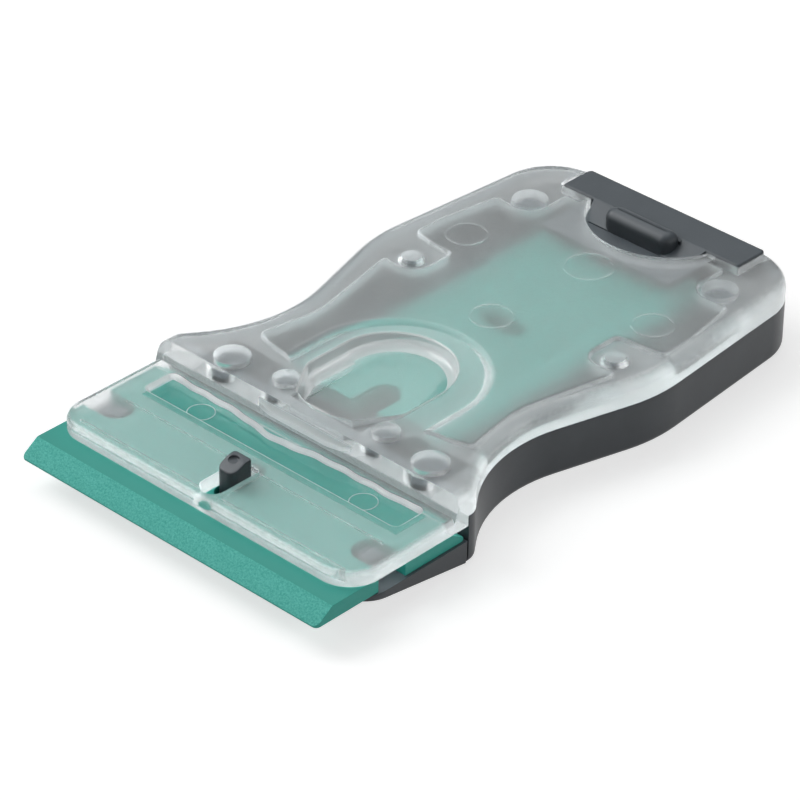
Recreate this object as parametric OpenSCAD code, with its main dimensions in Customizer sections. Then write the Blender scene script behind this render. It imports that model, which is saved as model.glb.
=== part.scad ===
// Ceramic hob scraper: a green plastic blade held between a frosted cover and a springing jaw,
// with spare blades in a drawer that slides out of the rear of the handle.
// Pieces are drawn with the scraping edge at y = 0; place() then puts the origin under the middle.

/* [Blade] */
// Width of the scraping edge
blade_w = 60; // [54:0.5:66]
// Length of the blade from edge to edge
blade_l = 30; // [28:0.1:31]
// Thickness of the blade
blade_t = 2.4; // [1.8:0.1:2.5]
// Length of the bevel along both long edges
bevel_l = 3.2; // [2:0.1:5]
// Thickness left at the scraping edge
edge_t = 0.3; // [0.2:0.05:0.6]
// Radius of the corners of the blade
blade_corner_r = 0.8; // [0.3:0.1:2]
// Width of the notch in each short side
notch_w = 5.4; // [5:0.1:6.5]
// Depth of the notch in each short side
notch_l = 7; // [5:0.1:9]
// Length of the hole that the peg passes through
hole_l = 8.8; // [8.6:0.1:10]

/* [Handle] */
// Height of the handle
handle_h = 12; // [11.8:0.1:14]
// Height of the parting line between base and cover
base_h = 8.2; // [8:0.1:8.6]
// Wall of both shells
wall_t = 1.8; // [1.4:0.1:2.2]
// Floor of the base
floor_t = 1.6; // [1.2:0.1:1.8]
// Half width of the corner that pulls the waist in
waist_x = 21.2; // [20.4:0.1:23]
// Distance of that corner from the wall behind the blade
waist_l = 13.4; // [12:0.1:15]
// Radius of the waist
waist_r = 24; // [20:1:26]
// Half width of the corner at the bulb
bulb_x = 29.4; // [27:0.1:31]
// Distance of that corner from the wall behind the blade
bulb_l = 42.1; // [39:0.1:45]
// Radius of the bulb
bulb_r = 28; // [20:1:36]
// Half width of the corner at the rear
rear_x = 26.4; // [25:0.1:28]
// Radius of the rear corners
rear_r = 10; // [7:0.5:11]
// Radius of the shoulders beside the blade
shoulder_r = 3; // [1:0.5:3.5]
// Rounding of the upper edge of the handle
top_edge_r = 2; // [0.5:0.1:2.4]
// Rounding of the lower edge of the base
bottom_edge_r = 1; // [0.4:0.1:1.4]

/* [Lip] */
// How far the blade stands out in front of the cover lip
lip_reach = 6.3; // [4:0.1:8]
// Thickness of the lip over the blade
lip_t = 2.4; // [2:0.1:3]
// Radius of the front corners of the lip
lip_corner_r = 5.5; // [3:0.1:8]
// Rounding of the upper edge of the lip
lip_edge_r = 1; // [0.4:0.1:1.4]
// Half width of the trough across the lip
trough_x = 25.3; // [20:0.1:27]
// Length of the trough up to the step of the handle
trough_l = 5.4; // [4:0.1:7]
// Depth of the trough
trough_d = 0.8; // [0.3:0.1:1.2]
// Width of the slot for the peg
slot_w = 4; // [3.8:0.1:5]
// Length of the slot in front of the peg, for its swing
slot_run = 4.1; // [3:0.1:4.5]
// Length of the slot behind the peg
slot_rest = 1.2; // [0.6:0.1:2]

/* [Jaw] */
// How far the blade stands out in front of the jaw
jaw_reach = 7.8; // [6.5:0.1:9]
// Height of the underside of the blade
jaw_h = 4; // [3.8:0.1:4.4]
// Thickness of the front edge of the jaw
jaw_tip_t = 0.4; // [0.3:0.1:1]
// Radius of the bead that the jaw turns on
bead_r = 0.9; // [0.7:0.05:1]
// Width of the peg
peg_w = 3.5; // [3:0.1:3.5]
// Length of the peg
peg_l = 4; // [3.4:0.1:4.2]
// Height of the top of the peg
peg_top = 11.3; // [10.5:0.1:12]
// Radius of the pins in the side notches
pin_r = 1.7; // [1.4:0.05:1.75]

/* [Thumb dish] */
// Half width of the dish
dish_x = 9.5; // [8:0.1:10]
// Half width of the dish at its front edge
dish_front_x = 5.5; // [4:0.1:6]
// Length of the dish
dish_l = 23.6; // [21:0.1:26]
// Radius of the hollow of the dish
dish_floor_r = 32; // [28:1:40]
// Depth of the upright wall around the dish
dish_edge_d = 1.5; // [1.2:0.1:1.8]
// Slope of the floor of the dish in degrees
dish_slope = 4.5; // [3:0.1:5]
// Thickness of the dish
dish_t = 1.2; // [0.9:0.1:1.4]
// Width of the thick ring around the dish, seen through the cover
dish_wall = 4; // [2:0.1:4.5]

/* [Magazine] */
// Distance from the front wall of the handle to the spare blades
magazine_lead = 8.3; // [8:0.1:10]
// Length of the handle behind the spare blades
tail_l = 10.7; // [10.5:0.1:13]
// Floor of the drawer
tray_t = 1; // [0.8:0.1:1.2]
// Walls of the drawer
tray_wall = 0.8; // [0.6:0.1:1]
// Height of the walls of the drawer
tray_h = 3; // [2:0.1:4.5]
// Half width of the rear bar of the drawer
bar_x = 18; // [17.5:0.1:19]
// Length of the rear bar of the drawer
bar_l = 7; // [6:0.1:8]
// Depth of the thumb notch in front of the bar
thumb_d = 8.5; // [7:0.1:9]
// Half width of the thumb notch at the bar
thumb_x = 11.9; // [11:0.1:12.5]
// Half length of the thumb ridge
ridge_x = 6.3; // [5:0.1:7]
// Radius of the thumb ridge
ridge_r = 1.5; // [1.2:0.1:1.7]

/* [Posts] */
// Radius of the sockets at the waist end of the cover
front_boss_r = 2.9; // [2.5:0.1:3]
// Radius of the sockets beside the dish
small_boss_r = 2.1; // [1.8:0.1:2.2]
// Radius of the sockets at the bulb
middle_boss_r = 2; // [1.7:0.1:2.2]
// Radius of the sockets at the rear
rear_boss_r = 2.2; // [1.9:0.1:2.4]
// Wall of the bosses around the sockets
boss_wall = 0.7; // [0.6:0.05:0.9]
// Length of the spigots of the base in the sockets
spigot_l = 0.8; // [0.5:0.1:1.2]

/* [Clearances] */
// Play of the blades in their seats
blade_play = 0.2; // [0.1:0.05:0.3]
// Gap between blade and jaw
jaw_gap = 0.05; // [0.03:0.01:0.1]
// Gap between the fixed shells and what moves in them
slide_gap = 0.15; // [0.1:0.05:0.2]
// Radial clearance of the pins and the bead
pin_gap = 0.05; // [0.03:0.01:0.08]

/* [Hidden] */

// Degrees of arc from one point of an outline to the next, and layers in a rounded edge
arc_step = 9;
edge_steps = 3;
$fn = 48;

// Overshoot of cuts, so that no two faces coincide
cut = 1;

DARK = [0.27, 0.28, 0.3];
FROSTED = [0.76, 0.81, 0.81, 0.5];
GREEN = [0.2, 0.62, 0.54];

// Shells
shell_x = blade_w / 2 + 2 * blade_play;
stop_y = blade_l + blade_play;
stop_rear = stop_y + wall_t;
magazine_y = stop_rear + magazine_lead;
waist_y = stop_y + waist_l;
bulb_y = stop_y + bulb_l;
tool_l = magazine_y + blade_w + tail_l;
ceiling = handle_h - wall_t;

// Lip and the step up to the handle
lip_z = jaw_h + blade_t;
lip_top = lip_z + lip_t;
trough_floor = lip_top - trough_d;
step_y = stop_y - 4.2;
step_l = 2.6;
step_chamfer = 0.3;
trough_y = step_y - trough_l;

// Jaw and the bead that it turns on
split_y = stop_y - slide_gap;
jaw_top = jaw_h - jaw_gap;
jaw_toe = 0.3;
toe_l = 0.35;
bead_y = stop_y + 1.6;
bead_z = bead_r + 0.5;
bead_x = shell_x - 5;
bead_wall = 1.2;
neck_t = 1;
neck_travel = 0.35;
pin_h = 2;
peg_y = blade_l / 2 - 1.2;
peg_front = peg_y - peg_l / 2;
peg_rear = peg_y + peg_l / 2;
peg_slope = 0.8;
slot_front = peg_front - slot_run;
slot_rear = peg_rear + slot_rest;
dimple_r = 1;

// Drawer and the stack of spare blades in it
tray_z = floor_t + slide_gap;
tray_x = blade_l / 2 + blade_play + tray_wall;
tray_front = magazine_y - blade_play - tray_wall;
tray_stop = magazine_y + blade_w + blade_play;
stack_z = tray_z + tray_t;
stack_top = stack_z + 2 * blade_t;
bar_y = tool_l - bar_l;
bar_wall = 1.5;
bar_edge_r = 0.6;
ledge_top = ceiling - slide_gap;
ledge_t = 1.2;
ledge_x = thumb_x + 1;
ledge_l = thumb_d + 2;
plate_front = bar_y - 2 * ridge_r;
thumb_r = (thumb_x * thumb_x + thumb_d * thumb_d) / (2 * thumb_d);
thumb_y = bar_y - thumb_d + thumb_r;
thumb_gap = 0.5;
runner_t = 1.2;
runner_h = 2.4;

// Thumb dish, whose floor clears the spare blades
dish_z = stack_top + 2 * slide_gap + dish_t;
dish_front = stop_rear + blade_play;
dish_side_l = 6.3;
crescent_l = 1.5;
crescent_d = 1.1;
crescent_r = (dish_front_x * dish_front_x + crescent_l * crescent_l) / (2 * crescent_l);

// Ribs under the cover
rib_t = 1;
rib_y = magazine_y - 2.3;

// Each boss as its place and the radius of its socket, on the right side
BOSSES = [
    [[shell_x - 10.3, stop_y + 3], front_boss_r],
    [[dish_front_x + 4.6, dish_front + 2.3], small_boss_r],
    [[tray_x + middle_boss_r + boss_wall + 2, bulb_y], middle_boss_r],
    [[tray_x + rear_boss_r + boss_wall + 0.5, bar_y - 6], rear_boss_r]
];

// Outlines as corners [x, y, radius], with the right side from front to rear first
shell_outline = both_sides([
    [shell_x, lip_reach, lip_corner_r],
    [shell_x, stop_y + 1.2, shoulder_r],
    [waist_x, waist_y, waist_r],
    [bulb_x, bulb_y, bulb_r],
    [rear_x, tool_l, rear_r]
]);
jaw_outline = both_sides([
    [shell_x, jaw_reach, lip_corner_r],
    [shell_x, split_y, 0.1]
]);
dish_outline = both_sides([
    [dish_front_x, dish_front, 0.5],
    [dish_x, dish_front + dish_side_l, 3],
    [dish_x, dish_front + dish_l, dish_x - 0.1]
]);

function unit(v) = v / norm(v);
function place_of(p) = [p.x, p.y];
// A right-hand side from front to rear, closed by its mirror image
function both_sides(side) = concat(
    side, [for (i = [len(side) - 1 : -1 : 0]) [-side[i].x, side[i].y, side[i].z]]);
// Directions from corner i to the corner before it and to the corner after it
function to_last(corners, i) = unit(
    place_of(corners[(i + len(corners) - 1) % len(corners)]) - place_of(corners[i]));
function to_next(corners, i) = unit(
    place_of(corners[(i + 1) % len(corners)]) - place_of(corners[i]));
// 1 at a corner that points outward, -1 at one that points inward
function way_of(corners, i) = sign(cross(-to_last(corners, i), to_next(corners, i)));
function half_angle(corners, i) = acos(to_last(corners, i) * to_next(corners, i)) / 2;
function bisector(corners, i) = unit(to_last(corners, i) + to_next(corners, i));
// Points of the arc that rounds corner i
function arc_points(corners, i) =
    let (
        r = corners[i].z,
        half = half_angle(corners, i),
        inward = bisector(corners, i),
        centre = place_of(corners[i]) + inward * r / sin(half),
        sweep = way_of(corners, i) * (180 - 2 * half),
        middle = atan2(-inward.y, -inward.x),
        steps = ceil(abs(sweep) / arc_step)
    )
    [for (k = [0 : steps])
        let (angle = middle + sweep * (k / steps - 0.5))
        centre + r * [cos(angle), sin(angle)]];
function outline(corners) = [for (i = [0 : len(corners) - 1]) each arc_points(corners, i)];
// The same outline moved inward by a distance
function inset(corners, distance) = [for (i = [0 : len(corners) - 1])
    let (
        way = way_of(corners, i),
        shift = way * distance / sin(half_angle(corners, i)),
        corner = place_of(corners[i]) + bisector(corners, i) * shift
    )
    [corner.x, corner.y, max(corners[i].z - way * distance, 0.05)]];

// Straight-sided solid of an outline between two heights
module slab(corners, bottom, top) {
    translate([0, 0, bottom])
        linear_extrude(top - bottom) polygon(outline(corners));
}

// The same solid with its lower or upper edge rounded in steps, as slabs inside one another
module rounded_slab(corners, bottom, top, lower_r, upper_r) {
    slab(corners, bottom + lower_r, top - upper_r);
    middle = (bottom + lower_r + top - upper_r) / 2;
    for (k = [0 : edge_steps - 1]) {
        outer = 1 - cos(90 * k / edge_steps);
        inner = 1 - cos(90 * (k + 1) / edge_steps);
        rest = 1 - (outer + inner) / 2;
        depth = 1 - sqrt(1 - rest * rest);
        if (lower_r > 0)
            slab(inset(corners, depth * lower_r), bottom + outer * lower_r, middle);
        if (upper_r > 0)
            slab(inset(corners, depth * upper_r), middle, top - outer * upper_r);
    }
}

// Box between two corners
module box(low, high) {
    translate(low) cube(high - low);
}

// Box across the width, between two corners [y, z]
module band(half_width, low, high) {
    box([-half_width, low.x, low.y], [half_width, high.x, high.y]);
}

// Solid across the width with the given side view, points [y, z]
module side_view(points, half_width) {
    translate([-half_width, 0, 0])
        rotate([90, 0, 90])
            linear_extrude(2 * half_width) polygon(points);
}

// Round bar across the width
module round_bar(half_width, y, z, r) {
    translate([-half_width, y, z])
        rotate([0, 90, 0])
            cylinder(r = r, h = 2 * half_width);
}

// What stands on the right side, and its mirror image
module pair() {
    children();
    mirror([1, 0, 0]) children();
}

// Puts the origin under the middle of the tool
module place() {
    translate([0, -tool_l / 2, 0]) children();
}

// Room inside both shells between two heights
module room(bottom, top) {
    intersection() {
        slab(inset(shell_outline, wall_t), bottom, top);
        band(shell_x, [stop_rear, bottom], [tool_l, top]);
    }
}

// Opening in the rear of a shell for the bar of the drawer
module bar_opening(bottom, top) {
    band(bar_x + slide_gap, [bar_y - slide_gap, bottom], [tool_l + cut, top]);
}

// Blade flat on its back at the origin, with both bevels upward
module blade() {
    half_l = blade_l / 2;
    difference() {
        intersection() {
            side_view([
                [-half_l, 0],
                [half_l, 0],
                [half_l, edge_t],
                [half_l - bevel_l, blade_t],
                [bevel_l - half_l, blade_t],
                [-half_l, edge_t]
            ], blade_w / 2);
            slab(both_sides([
                [blade_w / 2, -half_l, blade_corner_r],
                [blade_w / 2, half_l, blade_corner_r]
            ]), 0, blade_t);
        }
        pair() {
            notch_end = blade_w / 2 - notch_l + notch_w / 2;
            translate([notch_end, 0, -cut])
                cylinder(d = notch_w, h = blade_t + 2 * cut);
            box([notch_end, -notch_w / 2, -cut], [blade_w / 2 + cut, notch_w / 2, blade_t + cut]);
        }
        hole_end = (hole_l - slot_w) / 2;
        for (end = [-hole_end, hole_end])
            translate([0, end, -cut])
                cylinder(d = slot_w, h = blade_t + 2 * cut);
        box([-slot_w / 2, -hole_end, -cut], [slot_w / 2, hole_end, blade_t + cut]);
    }
}

module working_blade() {
    color(GREEN) place()
        translate([0, blade_l / 2, jaw_h])
            blade();
}

// Spare blade lengthways in the drawer, counted from the bottom of the stack
module spare_blade(level) {
    color(GREEN) place()
        translate([0, magazine_y + blade_w / 2, stack_z + level * blade_t])
            rotate([0, 0, 90])
                blade();
}

// Wedge plate under the blade with its peg, pins and bead
module blade_jaw() {
    toe_y = split_y - toe_l;
    tip_z = jaw_top - jaw_tip_t;
    rise = (tip_z - jaw_toe) / (toe_y - jaw_reach);
    color(DARK) place() {
        intersection() {
            slab(jaw_outline, 0, jaw_top);
            side_view([
                [jaw_reach, tip_z],
                [toe_y, jaw_toe],
                [split_y, bead_z],
                [split_y, jaw_top],
                [jaw_reach, jaw_top]
            ], shell_x + cut);
        }
        band(bead_x, [split_y - neck_t, bead_z - neck_t / 2], [bead_y, bead_z + neck_t / 2]);
        round_bar(bead_x, bead_y, bead_z, bead_r);
        pair()
            translate([blade_w / 2 - notch_l + notch_w / 2, blade_l / 2, jaw_top - neck_t])
                cylinder(r = pin_r, h = pin_h + neck_t);
        peg();
    }
}

// Peg that comes up through the blade and the lip
module peg() {
    difference() {
        intersection() {
            side_view(outline([
                [peg_front, jaw_top - neck_t, 0.05],
                [peg_rear, jaw_top - neck_t, 0.05],
                [peg_rear, peg_top, 0.8],
                [peg_front, peg_top - peg_slope, 1.2]
            ]), peg_w / 2);
            slab(both_sides([
                [peg_w / 2, peg_front, 1.2],
                [peg_w / 2, peg_rear, 0.3]
            ]), 0, handle_h);
        }
        translate([0, peg_y, peg_top])
            sphere(r = dimple_r);
    }
}

// Post of the base behind the wall at the blade, with the spigot that centres the cover
module post(boss) {
    intersection() {
        translate(boss[0])
            cylinder(r = boss[1] + boss_wall, h = base_h);
        band(shell_x, [stop_y, 0], [tool_l, base_h]);
    }
    translate(boss[0])
        cylinder(r = boss[1] - pin_gap, h = base_h + spigot_l);
}

module base_shell() {
    color(DARK) place()
        difference() {
            union() {
                difference() {
                    intersection() {
                        rounded_slab(shell_outline, 0, base_h, bottom_edge_r, 0);
                        band(shell_x + cut, [stop_y, 0], [tool_l, base_h]);
                    }
                    room(floor_t, base_h + cut);
                    bar_opening(floor_t, base_h + cut);
                }
                band(bead_x + bead_wall, [stop_y, 0],
                     [bead_y + bead_r + bead_wall, bead_z + bead_r + bead_wall]);
                pair() {
                    for (boss = BOSSES)
                        post(boss);
                    runner_x = tray_x + slide_gap;
                    box([runner_x, magazine_y, floor_t / 2],
                        [runner_x + runner_t, bar_y - 2 * wall_t, floor_t + runner_h]);
                }
            }
            round_bar(bead_x + slide_gap, bead_y, bead_z, bead_r + pin_gap);
            band(bead_x + slide_gap, [stop_y - cut, bead_z - neck_t / 2 - neck_travel],
                 [bead_y, bead_z + neck_t / 2 + slide_gap]);
        }
}

// What follows the floor of the dish, which rises to the rear
module on_dish_floor() {
    translate([0, magazine_y, dish_z])
        rotate([dish_slope, 0, 0])
            children();
}

// Thick ring and floor of the thumb dish, clear of the front wall and the posts of the base
module dish_bowl() {
    intersection() {
        slab(inset(dish_outline, -dish_wall), lip_z, handle_h - cut);
        on_dish_floor()
            band(shell_x, [-tool_l / 2, -dish_t], [tool_l / 2, handle_h]);
        union() {
            band(BOSSES[1][0].x - small_boss_r - boss_wall - slide_gap,
                 [stop_rear + slide_gap, lip_z], [tool_l, handle_h]);
            band(shell_x, [stop_y, base_h], [tool_l, handle_h]);
        }
    }
}

// Everything that is cut out of the top of the cover around the thumb dish
module dish_cuts() {
    slab(dish_outline, handle_h - dish_edge_d, handle_h + cut);
    intersection() {
        slab(dish_outline, lip_z, handle_h);
        on_dish_floor()
            translate([0, -tool_l / 2, dish_floor_r])
                rotate([-90, 0, 0])
                    cylinder(r = dish_floor_r, h = tool_l, $fn = 120);
    }
    intersection() {
        translate([0, dish_front - crescent_l + crescent_r, handle_h - crescent_d])
            cylinder(r = crescent_r, h = crescent_d + cut);
        band(shell_x, [lip_reach, lip_z], [dish_front + 0.2, handle_h + cut]);
    }
}

module cover() {
    color(FROSTED) place()
        difference() {
            union() {
                cover_shell();
                dish_bowl();
                pair() {
                    for (boss = BOSSES)
                        translate([boss[0].x, boss[0].y, base_h])
                            cylinder(r = boss[1] + boss_wall, h = ceiling - base_h + cut);
                    cover_ribs();
                }
            }
            pair()
                for (boss = BOSSES)
                    translate([boss[0].x, boss[0].y, base_h - cut])
                        cylinder(r = boss[1], h = ceiling - base_h + cut);
            dish_cuts();
            peg_slot();
            bar_opening(base_h - cut, handle_h + cut);
            translate([0, thumb_y, base_h - cut])
                cylinder(r = thumb_r, h = handle_h - base_h + 2 * cut, $fn = 96);
        }
}

// Lip and handle top as hollow shells
module cover_shell() {
    difference() {
        union() {
            intersection() {
                rounded_slab(shell_outline, lip_z, lip_top, 0, lip_edge_r);
                band(shell_x + cut, [0, lip_z], [split_y, lip_top]);
            }
            intersection() {
                rounded_slab(shell_outline, lip_z, handle_h, 0, top_edge_r);
                side_view([
                    [step_y, lip_z],
                    [split_y, lip_z],
                    [split_y, base_h],
                    [tool_l, base_h],
                    [tool_l, handle_h],
                    [step_y + step_l + step_chamfer, handle_h],
                    [step_y + step_l - step_chamfer, handle_h - 2 * step_chamfer]
                ], shell_x + cut);
            }
        }
        room(base_h - cut, ceiling);
        band(trough_x, [trough_y, trough_floor], [step_y, handle_h]);
    }
}

// Right-hand ribs that guide the spare blades and stiffen the cover
module cover_ribs() {
    box([tray_x - 4, rib_y, base_h], [waist_x, rib_y + rib_t, ceiling + cut / 2]);
    box([waist_x - 0.6, magazine_y + 1, base_h], [waist_x - 0.6 + rib_t, magazine_y + 22, ceiling + cut / 2]);
    box([waist_x + 0.8, bulb_y + 4, base_h], [waist_x + 0.8 + rib_t, bulb_y + 21, ceiling + cut / 2]);
}

// Slot in the lip with a round front end
module peg_slot() {
    translate([0, slot_front + slot_w / 2, lip_z - cut])
        cylinder(d = slot_w, h = lip_t + 2 * cut);
    band(slot_w / 2, [slot_front + slot_w / 2, lip_z - cut], [slot_rear, lip_top + cut]);
}

// Tray with its rear bar, thumb plate and ridge
module magazine_drawer() {
    color(DARK) place() {
        // Tray floor and walls
        band(tray_x, [tray_front, tray_z], [bar_y + bar_wall, stack_z]);
        band(tray_x, [tray_front, tray_z], [tray_front + tray_wall, tray_z + tray_h]);
        band(tray_x, [tray_stop, tray_z], [tray_stop + tray_wall, tray_z + tray_h]);
        pair()
            box([tray_x - tray_wall, tray_front, tray_z],
                [tray_x, bar_y + bar_wall, tray_z + tray_h]);
        // Rear bar, hollow toward the tray
        difference() {
            intersection() {
                rounded_slab(shell_outline, tray_z, handle_h, 0, bar_edge_r);
                band(bar_x, [bar_y, tray_z], [tool_l, handle_h]);
            }
            band(bar_x - bar_wall, [bar_y - cut, stack_z], [tool_l - bar_wall, ceiling]);
        }
        // Plate in the thumb notch, and the lower ledge that runs under the cover
        intersection() {
            translate([0, thumb_y, ceiling - ledge_t])
                cylinder(r = thumb_r - thumb_gap, h = handle_h - ceiling + ledge_t, $fn = 96);
            band(bar_x, [plate_front, ledge_top - ledge_t], [bar_y + bar_wall, handle_h]);
        }
        band(ledge_x, [bar_y - ledge_l, ledge_top - ledge_t], [bar_y + bar_wall, ledge_top]);
        thumb_ridge();
    }
}

// Rounded ridge for the thumb at the front of the plate
module thumb_ridge() {
    hull()
        pair() {
            translate([ridge_x - ridge_r, plate_front + ridge_r, handle_h])
                sphere(r = ridge_r, $fn = 32);
            translate([ridge_x - ridge_r, plate_front + ridge_r, ledge_top - ledge_t / 2])
                cylinder(r = ridge_r, h = handle_h - ledge_top, $fn = 32);
        }
}

base_shell();
cover();
blade_jaw();
working_blade();
magazine_drawer();
spare_blade(0);  // spare_blade_lower
spare_blade(1);  // spare_blade_upper
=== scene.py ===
# %% [markdown]
# # A scraper for ceramic hobs
#
# The real tool is a green plastic blade, 60 mm wide, clamped between a frosted clear cover and a
# dark grey jaw. Two spare blades lie in a drawer inside the handle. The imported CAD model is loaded
# first: it fixes where every piece is. This file then builds the surfaces that are seen, with
# rounded edges, clear plastic of real thickness and textured mouldings.

# %% Load the frame and measure it
import bpy
import bmesh
import math
from mathutils import Matrix, Vector


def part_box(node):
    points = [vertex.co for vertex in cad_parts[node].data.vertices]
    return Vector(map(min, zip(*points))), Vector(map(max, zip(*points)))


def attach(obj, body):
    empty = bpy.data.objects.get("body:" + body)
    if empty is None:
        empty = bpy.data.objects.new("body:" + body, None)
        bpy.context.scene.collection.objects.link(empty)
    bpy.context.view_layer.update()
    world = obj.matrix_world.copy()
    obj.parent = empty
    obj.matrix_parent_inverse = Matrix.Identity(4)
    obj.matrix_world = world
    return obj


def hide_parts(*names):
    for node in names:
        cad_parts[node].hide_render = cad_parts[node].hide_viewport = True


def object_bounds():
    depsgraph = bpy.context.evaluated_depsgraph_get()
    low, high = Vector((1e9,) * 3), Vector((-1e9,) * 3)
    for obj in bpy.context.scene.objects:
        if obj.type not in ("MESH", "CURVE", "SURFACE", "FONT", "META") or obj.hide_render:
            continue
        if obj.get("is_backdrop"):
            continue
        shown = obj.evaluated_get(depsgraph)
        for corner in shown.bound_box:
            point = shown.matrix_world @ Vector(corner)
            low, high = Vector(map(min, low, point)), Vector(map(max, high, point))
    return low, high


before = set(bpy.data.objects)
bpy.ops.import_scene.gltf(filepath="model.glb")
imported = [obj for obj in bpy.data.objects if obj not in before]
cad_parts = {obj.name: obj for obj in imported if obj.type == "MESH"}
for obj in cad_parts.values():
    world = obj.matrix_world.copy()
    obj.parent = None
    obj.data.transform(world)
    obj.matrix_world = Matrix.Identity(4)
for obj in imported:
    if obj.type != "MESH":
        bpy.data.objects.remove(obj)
cad_low, cad_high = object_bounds()
MM = 0.001
edge_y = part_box("working_blade")[0].y


def at(x, y, z):
    """A point given in millimetres, with y counted from the scraping edge, in the frame's metres."""
    return Vector((x * MM, edge_y + y * MM, z * MM))


def span(node):
    """Lowest and highest corner of a CAD node, in those millimetres."""
    low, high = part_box(node)
    return [Vector((p.x, p.y - edge_y, p.z)) / MM for p in (low, high)]


blade_low, blade_high = span("working_blade")
cover_low, cover_high = span("cover")
jaw_low = span("blade_jaw")[0]
drawer_low, drawer_high = span("magazine_drawer")
blade_w = blade_high.x - blade_low.x
blade_l = blade_high.y
blade_t = blade_high.z - blade_low.z
print(f"blade {blade_w:.1f} x {blade_l:.1f} x {blade_t:.1f} mm, tool {cover_high.y:.1f} mm long")

# %% [markdown]
# ## The view
#
# The photograph was taken with a long lens from the front right, 33 degrees above the table. The
# camera could be placed by eye, but here its angles were solved once from mirrored pairs of
# features, so it is written as azimuth, elevation, roll and distance from a target on the handle.

# %% Camera
target = at(-0.49, 48.57, 5.0)
azimuth = math.radians(43.27)
elevation = math.radians(33.03)
roll = math.radians(0.64)
distance = 599.87 * MM
back = Vector((math.sin(azimuth) * math.cos(elevation), -math.cos(azimuth) * math.cos(elevation),
               math.sin(elevation)))
level_right = Vector((math.cos(azimuth), math.sin(azimuth), 0))
level_up = back.cross(level_right)
right = level_right * math.cos(roll) + level_up * math.sin(roll)
up = level_up * math.cos(roll) - level_right * math.sin(roll)
camera_data = bpy.data.cameras.new("camera")
camera_data.sensor_width = 36
camera_data.lens = 182.43
camera_data.clip_start = 0.01
camera_data.clip_end = 20
camera = bpy.data.objects.new("camera", camera_data)
turned = Matrix((right, up, back)).transposed()
camera.matrix_world = Matrix.Translation(target + back * distance) @ turned.to_4x4()
bpy.context.scene.collection.objects.link(camera)
bpy.context.scene.camera = camera
bpy.context.scene.view_settings.view_transform = "Standard"
print(f"camera {distance:.3f} m from the target, lens {camera_data.lens:.1f} mm")

# %% [markdown]
# ## Material helpers
#
# Every finish is a small node tree. One helper starts a tree with its Principled shader, and one
# adds a fine grain to the normal, because moulded plastic is never perfectly flat. The grain reads
# Object coordinates, so it stays on the surface when a piece moves. The others do sums, map a value
# to a range, mix two colours and let chosen rays pass.

# %% Nodes
def new_finish(name, **values):
    """A material with one Principled shader, whose sockets take the given plain values."""
    finish = bpy.data.materials.new(name)
    finish.use_nodes = True
    shader = finish.node_tree.nodes["Principled BSDF"]
    for socket, value in values.items():
        shader.inputs[socket.replace("_", " ")].default_value = value
    return finish, finish.node_tree, shader


def place_node(tree, kind, **settings):
    """A node of a kind, with some of its settings."""
    node = tree.nodes.new(kind)
    for name, value in settings.items():
        setattr(node, name, value)
    return node


def sum_up(tree, operation, *terms):
    """Result of a Math node whose terms are plain numbers or sockets."""
    node = place_node(tree, "ShaderNodeMath", operation=operation)
    for term, socket in zip(terms, node.inputs):
        if isinstance(term, (int, float)):
            socket.default_value = term
        else:
            tree.links.new(term, socket)
    return node.outputs[0]


def spread(tree, value, low, high, from_low=0.0, from_high=1.0):
    """Maps a value from one range to another."""
    ramp = place_node(tree, "ShaderNodeMapRange")
    for socket, number in (("From Min", from_low), ("From Max", from_high),
                           ("To Min", low), ("To Max", high)):
        ramp.inputs[socket].default_value = number
    tree.links.new(value, ramp.inputs["Value"])
    return ramp.outputs["Result"]


def between(tree, value, first, second):
    """A colour that goes from the first to the second with a value."""
    mix = place_node(tree, "ShaderNodeMix", data_type="RGBA")
    mix.inputs["A"].default_value = (*first, 1)
    mix.inputs["B"].default_value = (*second, 1)
    tree.links.new(value, mix.inputs["Factor"])
    return mix.outputs["Result"]


# %% Textures and rays
def noise(tree, size_mm, detail=2.0, roughness=0.5):
    """Noise whose features are about size_mm wide on the piece."""
    place = place_node(tree, "ShaderNodeTexCoord")
    cloud = place_node(tree, "ShaderNodeTexNoise")
    cloud.inputs["Scale"].default_value = 1 / (size_mm * MM)
    cloud.inputs["Detail"].default_value = detail
    cloud.inputs["Roughness"].default_value = roughness
    tree.links.new(place.outputs["Object"], cloud.inputs["Vector"])
    return cloud.outputs["Fac"]


def grain(tree, shader, height, depth_mm):
    """Bumps the shader's normal by a height texture."""
    bump = place_node(tree, "ShaderNodeBump")
    bump.inputs["Distance"].default_value = depth_mm * MM
    tree.links.new(height, bump.inputs["Height"])
    tree.links.new(bump.outputs["Normal"], shader.inputs["Normal"])


def facing_up(tree):
    """Height of the surface normal on the piece: 1 on level faces, 0 on walls."""
    place = place_node(tree, "ShaderNodeTexCoord")
    parts = place_node(tree, "ShaderNodeSeparateXYZ")
    tree.links.new(place.outputs["Normal"], parts.inputs["Vector"])
    return parts.outputs["Z"]


def light_path(tree):
    """The outputs that tell what kind of ray is asking."""
    return place_node(tree, "ShaderNodeLightPath").outputs


def let_through(tree, shader, chosen, tint=(1, 1, 1)):
    """Rays for which chosen is 1 pass straight through, tinted, and the others see the shader."""
    clear = place_node(tree, "ShaderNodeBsdfTransparent")
    clear.inputs["Color"].default_value = (*tint, 1)
    mix = place_node(tree, "ShaderNodeMixShader")
    tree.links.new(chosen, mix.inputs["Fac"])
    tree.links.new(shader.outputs["BSDF"], mix.inputs[1])
    tree.links.new(clear.outputs["BSDF"], mix.inputs[2])
    tree.links.new(mix.outputs["Shader"], tree.nodes["Material Output"].inputs["Surface"])


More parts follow.
